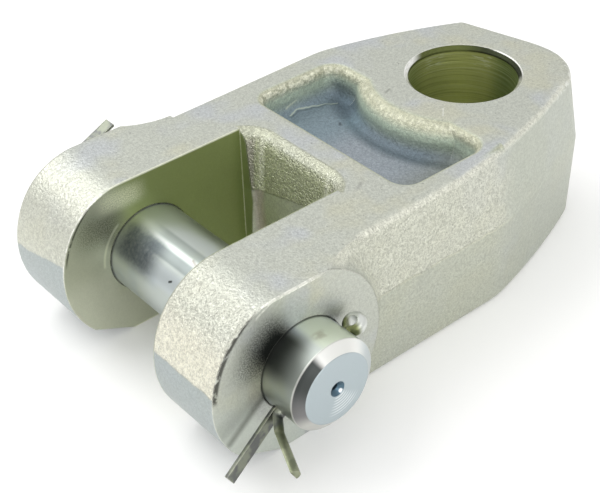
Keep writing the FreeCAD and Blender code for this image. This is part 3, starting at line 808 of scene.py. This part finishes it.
def pin_material():
    """Smooth turned zinc, with painted reflections as light and dark bands and a dark patch, painted
    highlight and shade on the stub, fine lines round the pin and faced ends.
    """
    graph = Graph("turned_zinc")
    x, y, z = graph.axes()
    distance, angle = around_pin(graph, x, z)
    out = graph.math("ABSOLUTE", y)
    colour = zinc_tints(graph, "pin", "pin lilac", "pin straw")

    inside = graph.step(out, 30, 24)
    # Painted reflections: light and dark bands round the pin between the cheeks
    for low, high, soft, cover, reflection_tone in PIN_REFLECTION_BANDS:
        band = graph.both(inside, graph.band(angle, low, high, soft), graph.step(y, 14, 6))
        colour = graph.mix(graph.times(band, cover), colour, srgb(*reflection_tone))
    # Painted reflection: a dark patch on the pin between the cheeks
    patch = graph.both(inside, graph.band(angle, 112, 160, 10), graph.band(y, 3.5, 20.0, 4.0),
                       graph.blend(graph.noise(0.9, 2), 0.72, 1.12))
    colour = graph.paint(colour, patch, 0.95, "pin dark reflection")

    outside = graph.step(y, -43.2, -43.8)
    # Painted highlight on the top of the pin's near end
    crown = graph.both(outside, graph.band(angle, 48, 100, 6), graph.step(y, -54.6, -54.2))
    colour = graph.paint(colour, crown, 0.85, "pin crown highlight")
    # Painted shade and reflection on the left of the stub beyond the near boss
    reflected_shade = graph.both(outside, graph.step(angle, 98, 116), graph.step(angle, 172, 146),
                       graph.step(y, -56.0, -46.0))
    colour = graph.paint(colour, reflected_shade, 0.95, "pin reflected shade")
    low_reflected_shade = graph.both(outside, graph.step(angle, 100, 128), graph.step(y, -55.5, -54.5))
    colour = graph.paint(colour, low_reflected_shade, 0.45, "low reflected shade")
    stain = graph.both(graph.band(angle, 80, 97, 5), graph.band(y, -51.5, -49.0, 0.8),
                       graph.step(graph.noise(3.4, 2, 0.6), 0.42, 0.62))
    colour = graph.paint(colour, stain, 0.38, "stain")

    faced = graph.math("SINE", graph.times(distance, 7.5))
    colour, end = pin_end_colour(graph, colour, x, z, distance, angle, out, faced)
    dent = graph.near_line(x, y, z, (-109.7, -4.0, 7.2), (-109.4, -4.7, 7.5), 0.28, 0.2)
    colour = graph.mix(dent, colour, tone("dent"))
    scuff = graph.near_line(x, y, z, (-103.4, -6.4, 12.0), (-104.0, -8.4, 11.7), 0.3, 0.4)
    colour = graph.paint(colour, scuff, 0.6, "scuff")
    # Painted highlight on the rim where the chamfer starts
    rim = graph.both(graph.band(distance, 12.35, 12.9, 0.1), graph.band(out, 54.2, 54.6, 0.1))
    colour = graph.paint(colour, rim, 0.5, "pin rim highlight")

    around = graph.noise(0.5, 1, 0.5, stretch=(0.02, 1, 0.02))
    rounded = graph.edges(0.25)[1]
    relief = graph.times(graph.noise(5, 1), 0.03)
    relief = graph.add(relief, graph.times(around, 0.006))
    relief = graph.add(relief, graph.both(faced, end, 0.003))
    roughness = graph.blend(graph.noise(7, 2), 0.28, 0.42)
    return graph.finish(colour, roughness, ZINC_METALLIC, graph.bump(relief, rounded))


def wire_material():
    """Drawn wire: grey steel through a thin gold-green plating, with painted highlights along its
    edges.
    """
    graph = Graph("wire_zinc")
    x, y, z = graph.axes()
    cloud = graph.step(graph.noise(3, 2), 0.42, 0.6)
    colour = graph.mix(cloud, tone("wire"), tone("light wire"))
    curled = graph.step(y, -50.6, -52.4)
    curled_tone = graph.mix(cloud, tone("curled wire"), tone("light curled wire"))
    colour = graph.mix(curled, colour, curled_tone)
    head = graph.both(graph.step(y, -40, -41), graph.step(z, 3.5, 5.0))
    head_tone = graph.mix(graph.step(x, -87.4, -85.8), tone("green head"), tone("silver head"))
    colour = graph.mix(head, colour, head_tone)
    edge, rounded = graph.edges(0.35)
    # Painted highlight along the wire's edges
    colour = graph.paint(colour, edge, 0.6, "wire edge highlight")
    relief = graph.times(graph.noise(0.8, 1), 0.03)
    return graph.finish(colour, WIRE_ROUGHNESS, WIRE_METALLIC, graph.bump(relief, rounded))


def dress(node, material):
    """Give a piece of the frame its material."""
    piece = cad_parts[node]
    piece.data.materials.clear()
    piece.data.materials.append(material)
    for polygon in piece.data.polygons:
        polygon.material_index = 0


def white_floor_share(tree):
    """1 for rays that should find a white floor: the camera's, mirrored and transmitted ones."""
    rays = tree.nodes.new("ShaderNodeLightPath")
    share = rays.outputs["Is Camera Ray"]
    for kind in ("Is Glossy Ray", "Is Transmission Ray"):
        either = tree.nodes.new("ShaderNodeMath")
        either.operation = "MAXIMUM"
        tree.links.new(share, either.inputs[0])
        tree.links.new(rays.outputs[kind], either.inputs[1])
        share = either.outputs[0]
    return share


def make_floor():
    """A wide pale floor that keeps the shadow and shows as white."""
    level = min(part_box(node)[0].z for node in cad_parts)
    bpy.ops.mesh.primitive_plane_add(size=FLOOR_SIZE, location=(0, 0, level - FLOOR_GAP))
    floor = bpy.context.object
    floor.name = "floor"
    material = bpy.data.materials.new("floor_paper")
    material.use_nodes = True
    tree = material.node_tree
    shader = tree.nodes["Principled BSDF"]
    shader.inputs["Base Color"].default_value = tone("floor paper")
    shader.inputs["Roughness"].default_value = FLOOR_ROUGHNESS
    shader.inputs["Specular IOR Level"].default_value = 0.0
    glow = tree.nodes.new("ShaderNodeEmission")
    glow.inputs["Color"].default_value = (1, 1, 1, 1)
    strength = tree.nodes.new("ShaderNodeMath")
    strength.operation = "MULTIPLY"
    strength.inputs[1].default_value = FLOOR_GLOW
    tree.links.new(white_floor_share(tree), strength.inputs[0])
    tree.links.new(strength.outputs[0], glow.inputs["Strength"])
    both = tree.nodes.new("ShaderNodeAddShader")
    tree.links.new(shader.outputs[0], both.inputs[0])
    tree.links.new(glow.outputs[0], both.inputs[1])
    tree.links.new(both.outputs[0], tree.nodes["Material Output"].inputs["Surface"])
    floor.data.materials.append(material)


def make_world():
    """A plain pale studio: bright overhead, a little darker towards the horizon."""
    world = bpy.data.worlds.new("studio")
    bpy.context.scene.world = world
    world.use_nodes = True
    tree = world.node_tree
    background = tree.nodes["Background"]
    coordinates = tree.nodes.new("ShaderNodeTexCoord")
    split = tree.nodes.new("ShaderNodeSeparateXYZ")
    tree.links.new(coordinates.outputs["Generated"], split.inputs[0])
    rise = tree.nodes.new("ShaderNodeMapRange")
    rise.inputs["From Min"].default_value = RISE_START
    rise.inputs["From Max"].default_value = RISE_END
    rise.inputs["To Min"].default_value = HORIZON_STRENGTH
    rise.inputs["To Max"].default_value = OVERHEAD_STRENGTH
    tree.links.new(split.outputs[2], rise.inputs["Value"])
    tree.links.new(rise.outputs[0], background.inputs["Strength"])
    background.inputs["Color"].default_value = (1, 1, 1, 1)


def add_softbox(name, direction, distance, size, power):
    """A square studio lamp that points at the middle of the part."""
    lamp = bpy.data.lights.new(name, "AREA")
    lamp.shape = "SQUARE"
    lamp.size = size
    lamp.energy = power
    lamp_object = bpy.data.objects.new(name, lamp)
    bpy.context.scene.collection.objects.link(lamp_object)
    away = Vector(direction).normalized()
    lamp_object.location = CAMERA_TARGET + away * distance
    lamp_object.rotation_euler = away.to_track_quat("Z", "Y").to_euler()


def make_camera():
    """The camera at the photograph's angle."""
    azimuth = math.radians(CAMERA_AZIMUTH)
    elevation = math.radians(CAMERA_ELEVATION)
    roll = math.radians(CAMERA_ROLL)
    back = Vector((math.sin(azimuth) * math.cos(elevation),
                   -math.cos(azimuth) * math.cos(elevation), math.sin(elevation)))
    level_right = Vector((math.cos(azimuth), math.sin(azimuth), 0))
    level_up = back.cross(level_right)
    right = level_right * math.cos(roll) + level_up * math.sin(roll)
    up = level_up * math.cos(roll) - level_right * math.sin(roll)
    camera = bpy.data.cameras.new("camera")
    camera.sensor_width = SENSOR_MM
    camera.lens = FOCAL_PIXELS * SENSOR_MM / FRAME_WIDTH
    camera.shift_x = (FRAME_WIDTH / 2 - CENTRE_PIXEL[0]) / FRAME_WIDTH
    camera.shift_y = (CENTRE_PIXEL[1] - FRAME_HEIGHT / 2) / FRAME_WIDTH
    camera.clip_start = CAMERA_CLIP_START
    camera_object = bpy.data.objects.new("camera", camera)
    turn = Matrix((right, up, back)).transposed().to_4x4()
    camera_object.matrix_world = Matrix.Translation(CAMERA_TARGET + back * CAMERA_DISTANCE) @ turn
    bpy.context.scene.collection.objects.link(camera_object)
    bpy.context.scene.camera = camera_object


dress("clevis_body", forging_material())
dress("clevis_pin", pin_material())
wire = wire_material()
dress("near_split_pin", wire)
dress("far_split_pin", wire)
make_floor()
make_world()
for lamp_settings in LAMPS:
    add_softbox(*lamp_settings)
make_camera()
bpy.context.scene.view_settings.view_transform = "Standard"
